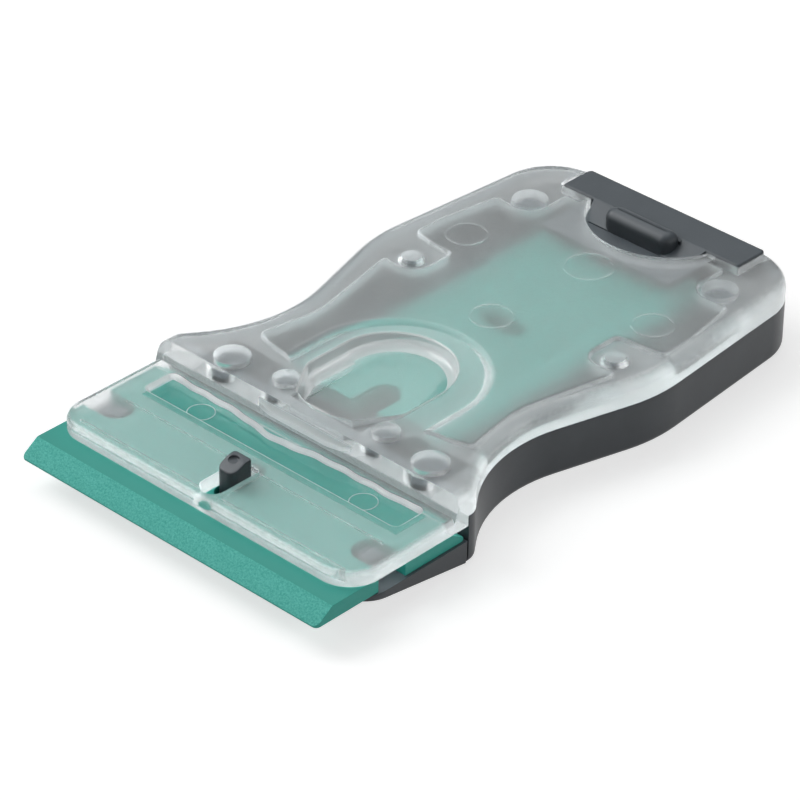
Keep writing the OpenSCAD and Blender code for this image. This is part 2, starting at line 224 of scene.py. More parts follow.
# %% [markdown]
# ## White ground
#
# The photograph shows the tool on pure white. A plane under it could be lit until it clips, but
# that would burn the pale cover too. So the plane is plain white, and rays that come straight from
# the camera, or through or off the plastic, also see a weak glow on it: it reads as white and still
# keeps a soft shadow. From below it lets every ray through, so that the underside of the tool can
# be looked at. It lies a hair under the tool, because two surfaces in one place would flicker.

# %% Ground
ground_white = (0.62, 0.62, 0.62)
ground_glow = 0.64
ground_reach = 8
ground_z = -0.02 * MM


def seen_ray(tree):
    """1 for rays that look at something: from the camera, or mirrored, or let through."""
    path = light_path(tree)
    direct = sum_up(tree, "MAXIMUM", path["Is Camera Ray"], path["Is Glossy Ray"])
    return sum_up(tree, "MAXIMUM", direct, path["Is Transmission Ray"])


ground_finish, tree, shader = new_finish(
    "ground_white", Base_Color=(*ground_white, 1), Roughness=0.9, Specular_IOR_Level=0.1,
    Emission_Color=(1, 1, 1, 1))
tree.links.new(sum_up(tree, "MULTIPLY", seen_ray(tree), ground_glow),
               shader.inputs["Emission Strength"])
side = place_node(tree, "ShaderNodeNewGeometry")
let_through(tree, shader, side.outputs["Backfacing"])
ground_mesh = bpy.data.meshes.new("ground")
ground_mesh.from_pydata([(x * ground_reach, y * ground_reach, ground_z)
                         for x, y in ((-1, -1), (1, -1), (1, 1), (-1, 1))], [], [(0, 1, 2, 3)])
ground_mesh.materials.append(ground_finish)
ground = bpy.data.objects.new("ground", ground_mesh)
bpy.context.scene.collection.objects.link(ground)
ground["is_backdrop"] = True
print(f"ground {2 * ground_reach} m wide")

# %% [markdown]
# ## World and lamps
#
# The world is white where the camera looks past the plane and much weaker for rays that the plastic
# lets through, and only a little of it lights the tool. The light comes from lamps. They are wide,
# because the photograph has no hard edge of light: the strongest stands on the left, one behind
# lights the level faces, and weak ones in front and on the right lift the walls. Two small ones
# stand where rounded edges mirror them, and make the glints.

# %% World
room_light = 0.045
seen_through = 0.2
world = bpy.data.worlds.new("studio")
bpy.context.scene.world = world
world.use_nodes = True
tree = world.node_tree
path = light_path(tree)
looking = sum_up(tree, "MULTIPLY_ADD", path["Is Transmission Ray"], seen_through,
                 path["Is Camera Ray"])
sky = tree.nodes["Background"]
sky.inputs["Color"].default_value = (1, 1, 1, 1)
tree.links.new(spread(tree, looking, room_light, 1.0), sky.inputs["Strength"])
print(f"world at {room_light} for light, at 1 for the camera")

# %% Lamps
lamp_distance = 1.2


def softbox(name, direction, size, power):
    """A square lamp that looks at the handle from a direction."""
    lamp_data = bpy.data.lights.new(name, "AREA")
    lamp_data.shape = "SQUARE"
    lamp_data.size = size
    lamp_data.energy = power
    lamp = bpy.data.objects.new(name, lamp_data)
    way = Vector(direction).normalized()
    lamp.matrix_world = (Matrix.Translation(target + way * lamp_distance)
                         @ way.to_track_quat("Z", "Y").to_matrix().to_4x4())
    bpy.context.scene.collection.objects.link(lamp)


# Direction from the handle, width in metres and power in watts.
softbox("lamp_left", (-0.8, -0.2, 0.75), 0.7, 7.6)
softbox("lamp_rear", (-0.40, 0.42, 0.82), 0.8, 2.8)
softbox("lamp_front", (0.25, -1.0, 0.55), 0.7, 0.9)
softbox("lamp_right", (0.9, -0.15, 0.42), 0.7, 2.3)
softbox("glint_front", (-0.575, -0.694, 0.433), 0.25, 1.3)
softbox("glint_right", (0.684, 0.61, 0.4), 0.25, 1.3)
print(len(bpy.data.lights), "soft lamps")

# %% [markdown]
# ## Clear plastic
#
# The cover is clear plastic with a satin skin: what lies close under it is sharp and what lies
# deep is blurred. Glass with a rough surface on a shell of real thickness gives exactly that. A
# share of the light is scattered back as white, which makes the skin look milky, and on the
# outside more of that white is painted on slopes than on level faces, as a painted highlight along
# the edges. The mould leaves many faces a finish of their own, from the polished floor of the dish
# to the white haze in its crescent. Painted light is added by finish too: the milky wall of the
# dish is a painted reflection, and whiter walls in the recess and at the front of the trough are
# painted light. So there are eight finishes of one plastic. Lamp rays pass straight through all of
# them, tinted, because light bent through rough glass would come out as noise.

# %% Clear plastic
plastic_tint = (0.885, 0.905, 0.915)
lamp_tint = (0.70, 0.74, 0.74)
cloud_mm = 6.0


def clear_plastic(name, roughness, milk, grain_mm, depth_mm, painted_slope_milk=None):
    """Clear plastic with a rough skin, of which a share called milk scatters light back."""
    finish, tree, shader = new_finish(
        name, Base_Color=(*plastic_tint, 1), Roughness=roughness, IOR=1.49,
        Transmission_Weight=1 - milk)
    # Painted highlight: the white share grows from level faces to slopes.
    if painted_slope_milk:
        clear = spread(tree, facing_up(tree), 1 - painted_slope_milk, 1 - milk, 0.2, 0.97)
        tree.links.new(clear, shader.inputs["Transmission Weight"])
    grain(tree, shader, noise(tree, grain_mm), depth_mm)
    clouds = spread(tree, noise(tree, cloud_mm, 3.0), roughness * 0.9, roughness * 1.1, 0.3, 0.7)
    tree.links.new(clouds, shader.inputs["Roughness"])
    let_through(tree, shader, light_path(tree)["Is Shadow Ray"], lamp_tint)
    return finish


# Roughness, share of milk, and width and depth of the grain in millimetres; satin_clear also gets a
# larger painted white share on its slopes, a painted highlight.
satin_clear = clear_plastic("satin_clear", 0.24, 0.055, 0.25, 0.018, painted_slope_milk=0.10)
inner_satin = clear_plastic("inner_satin", 0.45, 0.05, 0.22, 0.035)
frosted_wall = clear_plastic("frosted_wall", 0.45, 0.24, 0.3, 0.05)
hazy_clear = clear_plastic("hazy_clear", 0.4, 0.6, 0.3, 0.02)
# A whiter copy of frosted_wall for the recess walls that face right and front: a painted light band.
recess_wall = clear_plastic("recess_wall", 0.4, 0.75, 0.3, 0.02)
# White haze is the crescent's own finish; on the front wall of the trough it is a painted highlight.
white_haze = clear_plastic("white_haze", 0.4, 0.9, 0.3, 0.02)
# Milky white on the wall of the dish is a painted reflection of the bright room in its polished wall.
dish_wall = clear_plastic("dish_wall", 0.14, 0.66, 4.0, 0.02)
polished_clear = clear_plastic("polished_clear", 0.08, 0.01, 4.0, 0.01)
print(len(bpy.data.materials), "finishes with the ground")

# %% [markdown]
# ## Dark grey plastic
#
# Base, jaw and drawer are moulded in a grey plastic with a fine spark-eroded texture. The texture
# is about a tenth of a millimetre wide, far too fine to model, so it is a bump with a matching
# change of gloss. The grey varies a little, as filled plastic does, and level faces are painted
# lighter: a painted sheen for the light from above that they mirror.

# %% Dark grey plastic
# Grey of the walls, and a lighter grey painted on level faces as a painted sheen.
wall_grey = (0.024, 0.030, 0.036)
painted_sheen_grey = (0.128, 0.150, 0.168)
dark_plastic, tree, shader = new_finish("dark_plastic", Roughness=0.42, IOR=1.5)
fine = noise(tree, 0.12, 3.0, 0.6)
# Painted sheen: the grey goes lighter as a face turns level.
level = spread(tree, facing_up(tree), 0.0, 0.8, 0.3, 0.95)
tone_and_painted_sheen = sum_up(tree, "MULTIPLY_ADD", noise(tree, 5.0), 0.2, level)
tree.links.new(between(tree, tone_and_painted_sheen, wall_grey, painted_sheen_grey), shader.inputs["Base Color"])
tree.links.new(spread(tree, fine, 0.34, 0.48, 0.3, 0.7), shader.inputs["Roughness"])
grain(tree, shader, fine, 0.012)
print("dark plastic with", len(tree.nodes), "nodes")

# %% [markdown]
# ## Green blade plastic
#
# The blade is moulded in a filled green plastic. Its faces are smooth with a slight sheen. The
# bevel is ground, which leaves a speckled, paler surface, so it has a finish of its own with a
# coarse grain that drives both colour and bump.

# %% Green blade plastic
blade_green, tree, shader = new_finish("blade_green", Roughness=0.42, IOR=1.45)
fine = noise(tree, 0.2, 3.0, 0.6)
shade = between(tree, noise(tree, 8.0), (0.030, 0.385, 0.315), (0.038, 0.415, 0.345))
tree.links.new(shade, shader.inputs["Base Color"])
tree.links.new(spread(tree, fine, 0.36, 0.5, 0.3, 0.7), shader.inputs["Roughness"])
grain(tree, shader, fine, 0.01)

ground_green, tree, shader = new_finish("ground_green", Roughness=0.7, IOR=1.45)
speckle = spread(tree, noise(tree, 0.28, 4.0, 0.75), 0.0, 1.0, 0.36, 0.6)
shade = between(tree, speckle, (0.055, 0.47, 0.39), (0.14, 0.66, 0.57))
tree.links.new(shade, shader.inputs["Base Color"])
grain(tree, shader, speckle, 0.03)
print(len(bpy.data.materials), "finishes in all")

# %% [markdown]
# ## Outlines
#
# Each moulding is an outline seen from above, raised to a height. An outline is written as a few
# corners with a radius each, which are turned into arcs. Nearly all outlines here are symmetrical,
# so their right side is listed, from front to rear, and mirrored.

# %% Outlines
ARC_STEP = math.radians(4)
CHORD = 0.35
HAIR = 0.01


def mirrored(side):
    """Closes a right-hand side of corners by its mirror image."""
    return side + [(-x, y, r) for x, y, r in reversed(side)]


def outline(corners):
    """Points of an outline whose corners (x, y, radius) are rounded by arcs."""
    points = []
    for before, here, after in zip(corners[-1:] + corners, corners, corners[1:] + corners[:1]):
        corner, radius = Vector(here[:2]), here[2]
        to_last = (Vector(before[:2]) - corner).normalized()
        to_next = (Vector(after[:2]) - corner).normalized()
        half = to_last.angle(to_next) / 2
        inward = (to_last + to_next).normalized()
        centre = corner + inward * radius / math.sin(half)
        way = 1 if to_next.cross(to_last) > 0 else -1
        sweep = way * (math.pi - 2 * half)
        finest = abs(sweep) / ARC_STEP
        steps = max(2, math.ceil(min(finest, abs(sweep) * radius / CHORD)))
        middle = math.atan2(-inward.y, -inward.x)
        for k in range(steps + 1):
            angle = middle + sweep * (k / steps - 0.5)
            points.append(centre + radius * Vector((math.cos(angle), math.sin(angle))))
    return points


def grown(points, distance):
    """The same closed line moved outward by a distance, with its edges kept parallel."""
    moved = []
    for before, here, after in zip(points[-1:] + points, points, points[1:] + points[:1]):
        along_in = (here - before).normalized()
        along_out = (after - here).normalized()
        normal_in = Vector((along_in.y, -along_in.x))
        normal_out = Vector((along_out.y, -along_out.x))
        middle = (normal_in + normal_out).normalized()
        moved.append(here + middle * distance / max(middle.dot(normal_in), 0.5))
    return moved


def circle(x, y, radius, steps=48):
    """Points of a circle."""
    return [Vector((x + radius * math.cos(2 * math.pi * k / steps),
                    y + radius * math.sin(2 * math.pi * k / steps))) for k in range(steps)]


def full_round(width):
    """Radius that rounds a side of that width completely, less a hair that stays straight."""
    return width / 2 - HAIR


print(len(outline(mirrored([(1, 0, 0.5), (1, 2, 0.5)]))), "points on a small rounded square")

# %% [markdown]
# ## Solids from outlines
#
# A rounded edge is a quarter turn of the profile: as the height goes up, the outline shrinks. The
# same quarter, turned outward, gives a cutter that leaves a rounded rim. So one profile of
# (growth, height) pairs describes a whole moulding, and a loft joins its rings. Bevel modifiers
# could round the edges too, but they fail on the short sides of arcs, and this never does. A cutter
# reaches past the piece it cuts, so that no two faces lie in one plane.

# %% Profiles
# How far a cutter goes past the piece, and where it is surely beside it and above it.
PAST = 1
WIDE = 40
HIGH = 20


def quarter(start, end, steps=6):
    """Profile points from start, where it runs upright, to end, where it runs level."""
    turns = [math.pi / 2 * k / steps for k in range(steps + 1)]
    return [(start[0] + (end[0] - start[0]) * (1 - math.cos(t)),
             start[1] + (end[1] - start[1]) * math.sin(t)) for t in turns]


def upright(bottom, top, lower_r=0, upper_r=0):
    """Profile of a plate, whose lower and upper edges are rounded where they have a radius."""
    lower = quarter((0, bottom + lower_r), (-lower_r, bottom)) if lower_r else [(0, bottom)]
    upper = quarter((0, top - upper_r), (-upper_r, top)) if upper_r else [(0, top)]
    return lower[::-1] + upper


def rim_profile(bottom, top, rim_r):
    """Profile of a cutter that starts at the bottom and leaves a rounded rim at the top."""
    return [(0, bottom)] + quarter((0, top - rim_r), (rim_r, top)) + [(rim_r, top + PAST)]


print(len(upright(0, 10, 1, 1)), "rings for a plate with both edges rounded")

# %% Lofts
def new_piece(name, mesh):
    """An object with that mesh at the origin."""
    piece = bpy.data.objects.new(name, mesh)
    bpy.context.scene.collection.objects.link(piece)
    return piece


def skin(name, rings, finish=None, closed=False):
    """Mesh through rings of equally many points, with flat ends or closed to a loop."""
    shape = bmesh.new()
    loops = [[shape.verts.new(point) for point in ring] for ring in rings]
    pairs = zip(loops[-1:] + loops, loops) if closed else zip(loops, loops[1:])
    for lower, upper in pairs:
        for k in range(len(lower)):
            shape.faces.new((lower[k - 1], lower[k], upper[k], upper[k - 1]))
    if not closed:
        shape.faces.new(loops[0][::-1])
        shape.faces.new(loops[-1])
    bmesh.ops.recalc_face_normals(shape, faces=shape.faces)
    mesh = bpy.data.meshes.new(name)
    shape.to_mesh(mesh)
    shape.free()
    if finish:
        mesh.materials.append(finish)
    return new_piece(name, mesh)


def loft(name, rings, finish):
    """Closed solid through rings of points in millimetres, with a flat face at both ends."""
    return skin(name, [[at(*point) for point in ring] for ring in rings], finish)


def plate(name, points, profile, finish):
    """Solid of an outline whose rings follow a profile of (growth, height)."""
    rings = [[(p.x, p.y, z) for p in grown(points, growth)] for growth, z in profile]
    return loft(name, rings, finish)


def across(name, points, half_width, finish):
    """Solid across the width with a side view, points (y, z)."""
    return loft(name, [[(x, y, z) for y, z in points] for x in (-half_width, half_width)], finish)


def block(name, low, high, finish):
    """Box between two corners."""
    ring = [(low[0], low[1]), (high[0], low[1]), (high[0], high[1]), (low[0], high[1])]
    return loft(name, [[(x, y, z) for x, y in ring] for z in (low[2], high[2])], finish)


def slab(name, half_width, front, rear, bottom, top, finish):
    """Box that reaches equally far to both sides of the middle."""
    return block(name, (-half_width, front, bottom), (half_width, rear, top), finish)


# %% [markdown]
# ## Joining and finishing solids
#
# A moulding is added up and cut from such solids by exact booleans. They give one skin, and each
# face of a cutter hands its own finish to the face that it leaves. At the end the slits that the
# booleans left are filled, the sharp edges are marked and the normals are weighted by area, so that
# flat faces look flat and arcs look round.

# %% Joining solids
def settle(piece):
    """Applies the modifiers of a piece."""
    bpy.context.view_layer.update()
    graph = bpy.context.evaluated_depsgraph_get()
    mesh = bpy.data.meshes.new_from_object(piece.evaluated_get(graph))
    piece.modifiers.clear()
    piece.data = mesh
    mesh.name = piece.name


def combine(piece, tool, operation):
    """Adds, takes away or keeps what another solid covers, and removes that solid."""
    cut = piece.modifiers.new("cut", "BOOLEAN")
    cut.operation = operation
    cut.object = tool
    cut.solver = "EXACT"
    cut.material_mode = "TRANSFER"
    settle(piece)
    bpy.data.objects.remove(tool)


def add(piece, *tools):
    for tool in tools:
        combine(piece, tool, "UNION")


def cut_away(piece, *tools):
    for tool in tools:
        combine(piece, tool, "DIFFERENCE")


def keep(piece, tool):
    combine(piece, tool, "INTERSECT")


def paint(piece, finish, wanted):
    """Gives the faces of a solid that a test picks another finish."""
    materials = piece.data.materials
    if finish.name not in materials:
        materials.append(finish)
    slot = materials.find(finish.name)
    for face in piece.data.polygons:
        if wanted(face):
            face.material_index = slot


# %% Finishing a piece
SHARP = math.radians(32)
BEVELLED = math.radians(40)
MERGED = 0.002


def soften(piece, width_mm=0.0):
    """Bevels sharp edges by a width, shades round faces smooth and keeps flat ones flat."""
    if width_mm:
        bevel = piece.modifiers.new("bevel", "BEVEL")
        bevel.width = width_mm * MM
        bevel.segments = 2
        bevel.limit_method = "ANGLE"
        bevel.angle_limit = BEVELLED
        settle(piece)
    shape = bmesh.new()
    shape.from_mesh(piece.data)
    bmesh.ops.remove_doubles(shape, verts=shape.verts, dist=MERGED * MM)
    slits = [edge for edge in shape.edges if edge.is_boundary]
    bmesh.ops.holes_fill(shape, edges=slits, sides=0)
    for edge in shape.edges:
        edge.smooth = len(edge.link_faces) == 2 and edge.calc_face_angle(0) < SHARP
    for face in shape.faces:
        face.smooth = True
    shape.to_mesh(piece.data)
    shape.free()
    weigh = piece.modifiers.new("weigh", "WEIGHTED_NORMAL")
    weigh.keep_sharp = True
    settle(piece)
    return piece


def hand_over(piece, body, slot, *nodes):
    """Ties a finished piece to its body and hides its CAD nodes; slot is not used."""
    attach(piece, body)
    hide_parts(*nodes)
    print(f"{piece.name}: {len(piece.data.polygons)} faces on {body}")


# %% [markdown]
# ## The blades
#
# A blade is a 2.4 mm plate with a bevel along both long edges, a rounded notch in each short side
# and a long hole in the middle. All three blades in the tool are the same, so one function makes a
# blade from its side view and its plan, and the spare ones are turned lengthways in the drawer.

# %% Shape of a blade
bevel_l = 3.2
edge_t = 0.3
blade_corner_r = 0.8
notch_w = 5.4
notch_l = 7.0
hole_w = 4.0
hole_l = 8.8
notch_end = blade_w / 2 - notch_l + notch_w / 2


def through_blade(name, points):
    """Solid of an outline that goes right through the thickness of the blade."""
    return plate(name, points, upright(blade_low.z - PAST, blade_high.z + PAST), blade_green)


def notch_plan(way):
    """Outline of the notch in the left (-1) or right (1) short side, round at its inner end."""
    inner = way * (notch_end - notch_w / 2)
    outer = way * (blade_w / 2 + 2)
    first = blade_l / 2 - way * notch_w / 2
    second = blade_l / 2 + way * notch_w / 2
    round_end = full_round(notch_w)
    return outline([(inner, first, round_end), (outer, first, 0.1), (outer, second, 0.1),
                    (inner, second, round_end)])


def make_blade(name):
    """The working blade in its place, with a finish of its own on the bevels."""
    low, high = blade_low.z, blade_high.z
    side = [(0, low), (blade_l, low), (blade_l, low + edge_t), (blade_l - bevel_l, high),
            (bevel_l, high), (0, low + edge_t)]
    piece = across(name, side, blade_w / 2 + PAST, blade_green)
    paint(piece, ground_green, lambda face: 0.01 < face.normal.z < 0.99)
    plan = mirrored([(blade_w / 2, 0, blade_corner_r), (blade_w / 2, blade_l, blade_corner_r)])
    keep(piece, through_blade("plan", outline(plan)))
    for way in (-1, 1):
        cut_away(piece, through_blade("notch", notch_plan(way)))
    hole = mirrored([(hole_w / 2, (blade_l - hole_l) / 2, full_round(hole_w)),
                     (hole_w / 2, (blade_l + hole_l) / 2, full_round(hole_w))])
    cut_away(piece, through_blade("hole", outline(hole)))
    return soften(piece, 0.08)


# %% Three blades
scraper_blade = make_blade("scraper_blade")
blade_middle = (at(*blade_low) + at(*blade_high)) / 2
for node in ("spare_blade_lower", "spare_blade_upper"):
    spare = new_piece(node.replace("spare_blade", "stored_blade"), scraper_blade.data.copy())
    low, high = (Vector(corner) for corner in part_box(node))
    spare.data.transform(Matrix.Translation(-blade_middle))
    spare.data.transform(Matrix.Rotation(math.pi / 2, 4, "Z"))
    spare.data.transform(Matrix.Translation((low + high) / 2))
    hand_over(spare, "drawer", "blade_plastic", node)
hand_over(scraper_blade, "handle", "blade_plastic", "working_blade")

# %% [markdown]
# ## The jaw
#
# The wedge under the blade carries a peg that stands up through blade and cover, and two pins that
# sit in the notches. At its rear a bead turns in a groove of the base, where the real plastic bends.
# The wedge is its side view drawn across the width and trimmed by its plan. The peg has a round
# front and a top that slopes forward, so it is made the same way: a plan, kept only where the side
# view allows.

# %% Wedge, bead and pins
under_blade = 0.05
jaw_reach = jaw_low.y
jaw_top = blade_low.z - under_blade
jaw_tip_t = 0.4
jaw_rear_z = 0.3
split_y = 30.05
bead_y = 31.8
bead_z = 1.4
bead_r = 0.9
bead_x = 25.4
neck_t = 1.0
pin_r = 1.7
pin_top = 5.95
shell_x = cover_high.x
front_corner_r = 5.5
jaw_side = [(jaw_reach, jaw_top - jaw_tip_t), (split_y - 0.35, jaw_rear_z), (split_y, bead_z),
            (split_y, jaw_top), (jaw_reach, jaw_top)]
jaw = across("jaw_plate", jaw_side, shell_x + PAST, dark_plastic)
jaw_plan = outline(mirrored([(shell_x, jaw_reach, front_corner_r), (shell_x, split_y, 0.2)]))
keep(jaw, plate("plan", jaw_plan, upright(-PAST, jaw_top + PAST), dark_plastic))
add(jaw, slab("neck", bead_x, split_y - PAST, bead_y, bead_z - neck_t / 2, bead_z + neck_t / 2,
              dark_plastic))
add(jaw, across("bead", circle(bead_y, bead_z, bead_r, 24), bead_x, dark_plastic))
for way in (-1, 1):
    add(jaw, plate("pin", circle(way * notch_end, blade_l / 2, pin_r),
                   upright(jaw_top - PAST, pin_top, 0, 0.4), dark_plastic))
print("jaw", len(jaw.data.polygons), "faces before its peg")

# %% Peg
peg_front = 11.8
peg_rear = 15.8
peg_top = 11.3
peg_w = 3.5
peg_slope_l = 2.8
peg_slope_h = 1.3
dimple_place = (-0.3, 14.0)
dimple_r = 0.85
dimple_deep = 0.55
peg_plan = outline(mirrored([(peg_w / 2, peg_front, 1.3), (peg_w / 2, peg_rear, 0.4)]))
peg = plate("peg", peg_plan, upright(jaw_top - PAST, peg_top + PAST), dark_plastic)
peg_foot = jaw_top - 2
beside = 0.5
peg_side = outline([(peg_front - beside, peg_foot, 0.1), (peg_rear + beside, peg_foot, 0.1),
                    (peg_rear + beside, peg_top, 0.1), (peg_front + peg_slope_l, peg_top, 2.0),
                    (peg_front - beside, peg_top - peg_slope_h, 0.1)])
keep(peg, across("side", peg_side, peg_w / 2 + PAST, dark_plastic))
soften(peg, 0.35)
dimple_profile = ([(-0.25, peg_top - dimple_deep), (0, peg_top - dimple_deep + 0.15)]
                  + quarter((0, peg_top - 0.25), (0.25, peg_top)) + [(0.25, peg_top + PAST)])
cut_away(peg, plate("dimple", circle(*dimple_place, dimple_r, 32), dimple_profile, dark_plastic))
soften(jaw, 0.15)
soften(peg)
add(jaw, peg)
soften(jaw)
hand_over(jaw, "jaw", "dark_plastic", "blade_jaw")

# %% [markdown]
# ## The base
#
# The lower half of the handle is a tray with a rounded lower edge, closed in front by the wall that
# stops the blade. Posts with short spigots centre the cover. The outline pulls in at the waist and
# swells to a bulb, and the inner shape follows it at the thickness of the wall.

# %% Tray of the base
wall_t = 1.8
floor_t = 1.6
stop_y = 30.2
stop_rear = stop_y + wall_t
base_h = 8.2
tool_l = cover_high.y
tool_end = tool_l + PAST
bar_x = 18.0
bar_y = drawer_high.y - 7.0
gap = 0.15
shell_plan = outline(mirrored([
    (shell_x, cover_low.y, front_corner_r), (shell_x, stop_y + 1.2, 3), (21.2, 43.6, 24),
    (29.4, 72.3, 28), (26.4, tool_l, 10)]))
base = plate("base_body", shell_plan, upright(0, base_h, 1.0, 0.15), dark_plastic)
keep(base, slab("behind", WIDE, stop_y, tool_end, -PAST, base_h + PAST, dark_plastic))
inside = plate("inside", grown(shell_plan, -wall_t), upright(floor_t, base_h + PAST), dark_plastic)
keep(inside, slab("room", WIDE, stop_rear, tool_end, floor_t - PAST, base_h + 2 * PAST,
                  dark_plastic))
cut_away(base, inside)
cut_away(base, slab("opening", bar_x + gap, bar_y - gap, tool_end, floor_t, base_h + PAST,
                    dark_plastic))
print("tray of the base", len(base.data.polygons), "faces")

# %% Posts of the base and groove of the jaw
boss_wall = 0.7
spigot_h = 0.8
spigot_gap = 0.05
bead_gap = 0.05
seat_wall = 1.2
# Place beside the middle, and radius of the spigot and its gap.
bosses = [((20.1, 33.2), 2.9), ((10.1, 34.5), 2.1), ((20.7, 72.3), 2.0), ((19.4, 98.0), 2.2)]
add(base, slab("seat", bead_x + seat_wall, stop_y + 0.3, bead_y + bead_r + seat_wall, 0.5,
               bead_z + bead_r + seat_wall, dark_plastic))
for (x, y), r in bosses:
    for way in (-1, 1):
        post = plate("post", circle(way * x, y, r + boss_wall), upright(0.5, base_h), dark_plastic)
        keep(post, slab("behind", WIDE, stop_y + 0.1, tool_l, 0, base_h + PAST, dark_plastic))
        add(post, plate("spigot", circle(way * x, y, r - spigot_gap),
                        upright(2, base_h + spigot_h, 0, 0.25), dark_plastic))
        add(base, post)
cut_away(base, across("groove", circle(bead_y, bead_z, bead_r + bead_gap, 24), bead_x + gap,
                      dark_plastic))
cut_away(base, slab("mouth", bead_x + gap, stop_y - PAST, bead_y, bead_z - 0.85, bead_z + 0.65,
                    dark_plastic))
soften(base)
hand_over(base, "handle", "dark_plastic", "base_shell")

# %% [markdown]
# ## The drawer
#
# Only the rear bar, the plate in the thumb notch and the ridge of the drawer are seen from above,
# but the tray shows when it is pulled out. The thumb plate slopes down to a ledge in front of the
# ridge, so it is a disc kept only under its side view. The ridge is a capsule with a round top: its
# plan is a long outline with full radii, and a quarter turn of the profile closes it.

# %% Rear bar
handle_h = cover_high.z
tray_z = drawer_low.z
tray_t = 1
ledge_top = 10.05
bar_wall = 1.5
bar_foot = 0.3


def bar_outline(half_width, front, rear, front_r, rear_r):
    """Outline of the rear bar, or of the opening that it closes."""
    return outline([(-half_width, front, front_r), (half_width, front, front_r),
                    (half_width, rear, rear_r), (-half_width, rear, rear_r)])


bar = plate("drawer_body", shell_plan, upright(tray_z, handle_h, 0.3, 0.7), dark_plastic)
bar_profile = [(-bar_foot, tray_z - HAIR)] + upright(tray_z + bar_foot, handle_h + HAIR, 0, 0.45)
keep(bar, plate("bar_plan", bar_outline(bar_x, bar_y, tool_l, 0.6, 1.2), bar_profile,
                dark_plastic))
cut_away(bar, slab("hollow", bar_x - bar_wall, bar_y - PAST, tool_l - bar_wall, tray_z + tray_t,
                   ledge_top - 0.1, dark_plastic))
print("rear bar", len(bar.data.polygons), "faces")

# %% Tray and ledge
tray_x = 16.0
tray_front = drawer_low.y
tray_rear = bar_y + bar_wall
tray_stop = 100.5
rail_t = 0.8
rail_top = tray_z + 3
ledge_x = 12.9
ledge_front = 93.5
ledge_z = ledge_top - 1.2
add(bar, slab("tray_floor", tray_x, tray_front, tray_rear, tray_z, tray_z + tray_t, dark_plastic),
    slab("tray_front", tray_x, tray_front, tray_front + rail_t, tray_z, rail_top, dark_plastic),
    slab("tray_stop", tray_x, tray_stop, tray_stop + rail_t, tray_z, rail_top, dark_plastic),
    block("tray_left", (-tray_x, tray_front, tray_z), (-tray_x + rail_t, tray_rear, rail_top),
          dark_plastic),
    block("tray_right", (tray_x - rail_t, tray_front, tray_z), (tray_x, tray_rear, rail_top),
          dark_plastic),
    slab("ledge", ledge_x, ledge_front, tray_rear, ledge_z, ledge_top, dark_plastic))
print("bar and tray", len(bar.data.polygons), "faces")

# %% Thumb plate and ridge
thumb_r = 12.58
thumb_y = 108.08
plate_front = 101.0
ramp_front = plate_front - 0.55
ramp_l = 3.2
thumb_plate = plate("thumb_plate", circle(0, thumb_y, thumb_r - 0.5, 120),
                    upright(ledge_z, handle_h, 0, 0.15), dark_plastic)
ramp = outline([(ramp_front, ledge_z, 0.1), (tray_rear, ledge_z, 0.1), (tray_rear, handle_h, 0.1),
                (plate_front + ramp_l, handle_h, 2.0), (ramp_front, ledge_top + 0.2, 0.2)])
keep(thumb_plate, across("ramp", ramp, bar_x, dark_plastic))
add(bar, thumb_plate)
soften(bar, 0.1)
ridge_w = 3.8
ridge_h = 1.5
ridge_x = 6.8
ridge_plan = outline(mirrored([(ridge_x, ramp_front, full_round(ridge_w)),
                               (ridge_x, ramp_front + ridge_w, full_round(ridge_w))]))
ridge_profile = [(0, ledge_top - 0.5)] + quarter(
    (0, handle_h), (-ridge_w / 2 + 0.04, handle_h + ridge_h - 0.02), 10)
ridge = plate("ridge", ridge_plan, ridge_profile, dark_plastic)
shoulder = plate("shoulder", grown(ridge_plan, 0.4), upright(ledge_top, handle_h + 0.12, 0, 0.12),
                 dark_plastic)
keep(shoulder, slab("rear", WIDE, plate_front + 2.2, tool_l, 0, HIGH, dark_plastic))
add(bar, shoulder, ridge)
soften(bar)
hand_over(bar, "drawer", "dark_plastic", "magazine_drawer")

# %% [markdown]
# ## The thumb dish
#
# The dish is cut into the cover by one solid. Its rim is rounded, its wall goes down to a crease at
# constant height, and its floor is flat and rises to the rear. In between the rings shrink inward
# as they sink, which rounds the foot of the wall. In front the foot nearly vanishes, because there
# the real wall stands upright.

# %% Thumb dish
dish_x = 9.5
dish_front = 32.2
dish_end = 55.8
dish_front_x = 5.5
crease_z = handle_h - 1.5
dish_slope = math.tan(math.radians(4.5))
rear_drop = 0.03
foot_w = 3.2
foot_from = 12
dish_plan = outline(mirrored([(dish_front_x, dish_front, 0.5), (dish_x, dish_front + 6.3, 3.0),
                              (dish_x, dish_end, 9.4)]))
floor_mid_y = 40.3
floor_mid_z = 9.05


def dish_floor(y):
    """Height of the floor's plane before its rear drop, from which the underside is measured."""
    return floor_mid_z + (y - floor_mid_y) * dish_slope


def foot_share(y):
    """How much of its foot the wall has: a twentieth in front, all of it from foot_from on."""
    share = min(1, max(0, (y - dish_front) / foot_from))
    return max(0.05, share * share * (3 - 2 * share))


def foot_ring(turn):
    """Ring of the foot: the floor's edge at a turn of zero, the crease at a quarter turn."""
    ring = []
    for p, q in zip(dish_plan, grown(dish_plan, -1)):
        shrink = foot_w * (1 - math.sin(turn)) * foot_share(p.y)
        spot = p + (q - p) * shrink
        lower = rear_drop * max(0, spot.y - dish_front)
        depth = (crease_z - dish_floor(spot.y) + lower) * math.cos(turn)
        ring.append((spot.x, spot.y, crease_z - depth))
    return ring


